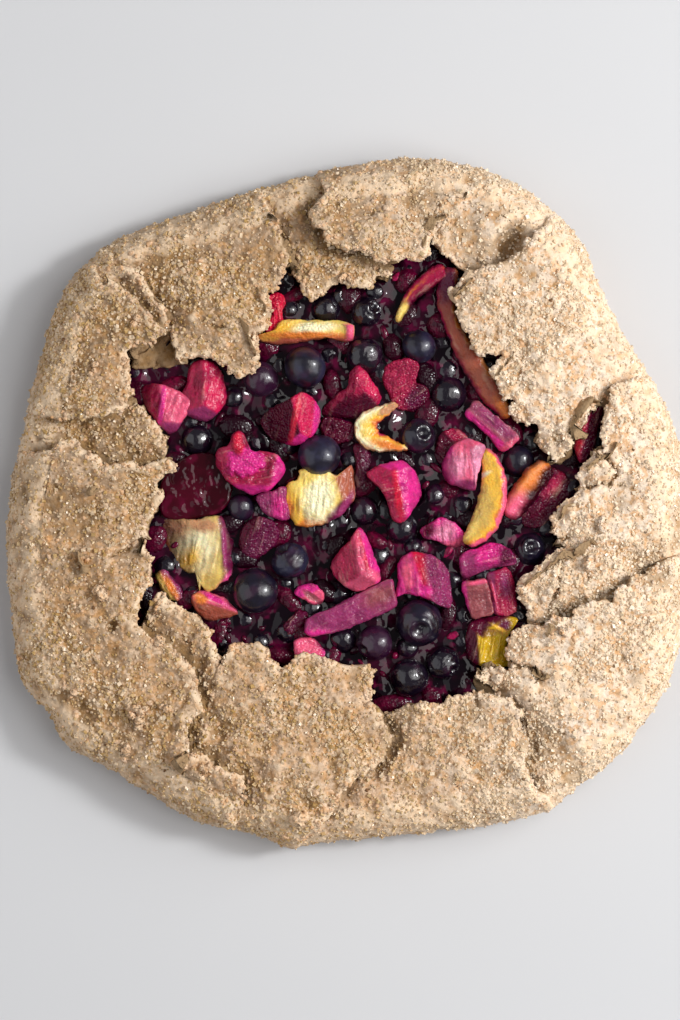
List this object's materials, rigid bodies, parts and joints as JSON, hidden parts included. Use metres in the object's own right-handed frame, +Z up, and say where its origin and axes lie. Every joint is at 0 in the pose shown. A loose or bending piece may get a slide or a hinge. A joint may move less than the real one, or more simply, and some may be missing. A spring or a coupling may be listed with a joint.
{
  "type": "fruit galette",
  "caption": "Free-form round fruit pie: rough pastry folded in flaps over a bed of jam with berries, rhubarb chunks and peach slices showing in the torn opening.",
  "frame": {"origin": "middle of the underside, on the surface the galette stands on", "axes": "+Z up out of the filling; +Y towards the side with the deep pleat between two flaps (the top of the picture); +X to the right of the picture"},
  "size_m": [0.2333, 0.236, 0.0286],
  "materials": {
    "crust": "baked whole-grain pastry, dry and sandy, sugared",
    "jam": "wet glossy dark purple jam",
    "blueberry": "dark blue skin with pale bloom, wet in places",
    "rhubarb": "magenta-pink skin and fibrous cut faces, juicy",
    "peach": "yellow fibrous flesh, stained pink at the rims, juicy"
  },
  "bodies": {
    "root": {"crust": "crust", "filling": "jam", "blueberry_01": "blueberry", "blueberry_02": "blueberry", "blueberry_03": "blueberry", "blueberry_04": "blueberry", "blueberry_05": "blueberry", "blueberry_06": "blueberry", "blueberry_07": "blueberry", "blueberry_08": "blueberry", "blueberry_09": "blueberry", "blueberry_10": "blueberry", "blueberry_11": "blueberry", "blueberry_12": "blueberry", "blueberry_13": "blueberry", "blueberry_14": "blueberry", "blueberry_15": "blueberry", "blueberry_16": "blueberry", "blueberry_17": "blueberry", "blueberry_18": "blueberry", "blueberry_19": "blueberry", "blueberry_20": "blueberry", "blueberry_21": "blueberry", "blueberry_22": "blueberry", "rhubarb_01": "rhubarb", "rhubarb_02": "rhubarb", "rhubarb_03": "rhubarb", "rhubarb_04": "rhubarb", "rhubarb_05": "rhubarb", "rhubarb_06": "rhubarb", "rhubarb_07": "rhubarb", "rhubarb_08": "rhubarb", "rhubarb_09": "rhubarb", "rhubarb_10": "rhubarb", "rhubarb_11": "rhubarb", "rhubarb_12": "rhubarb", "rhubarb_13": "rhubarb", "rhubarb_14": "rhubarb", "rhubarb_15": "rhubarb", "rhubarb_16": "rhubarb", "rhubarb_17": "rhubarb", "rhubarb_18": "rhubarb", "rhubarb_19": "rhubarb", "rhubarb_20": "rhubarb", "peach_01": "peach", "peach_02": "peach", "peach_03": "peach", "peach_04": "peach", "peach_05": "peach", "peach_06": "peach", "peach_07": "peach", "peach_08": "peach", "peach_09": "peach", "peach_10": "peach", "peach_11": "peach", "peach_12": "peach"}
  },
  "joints": []
}
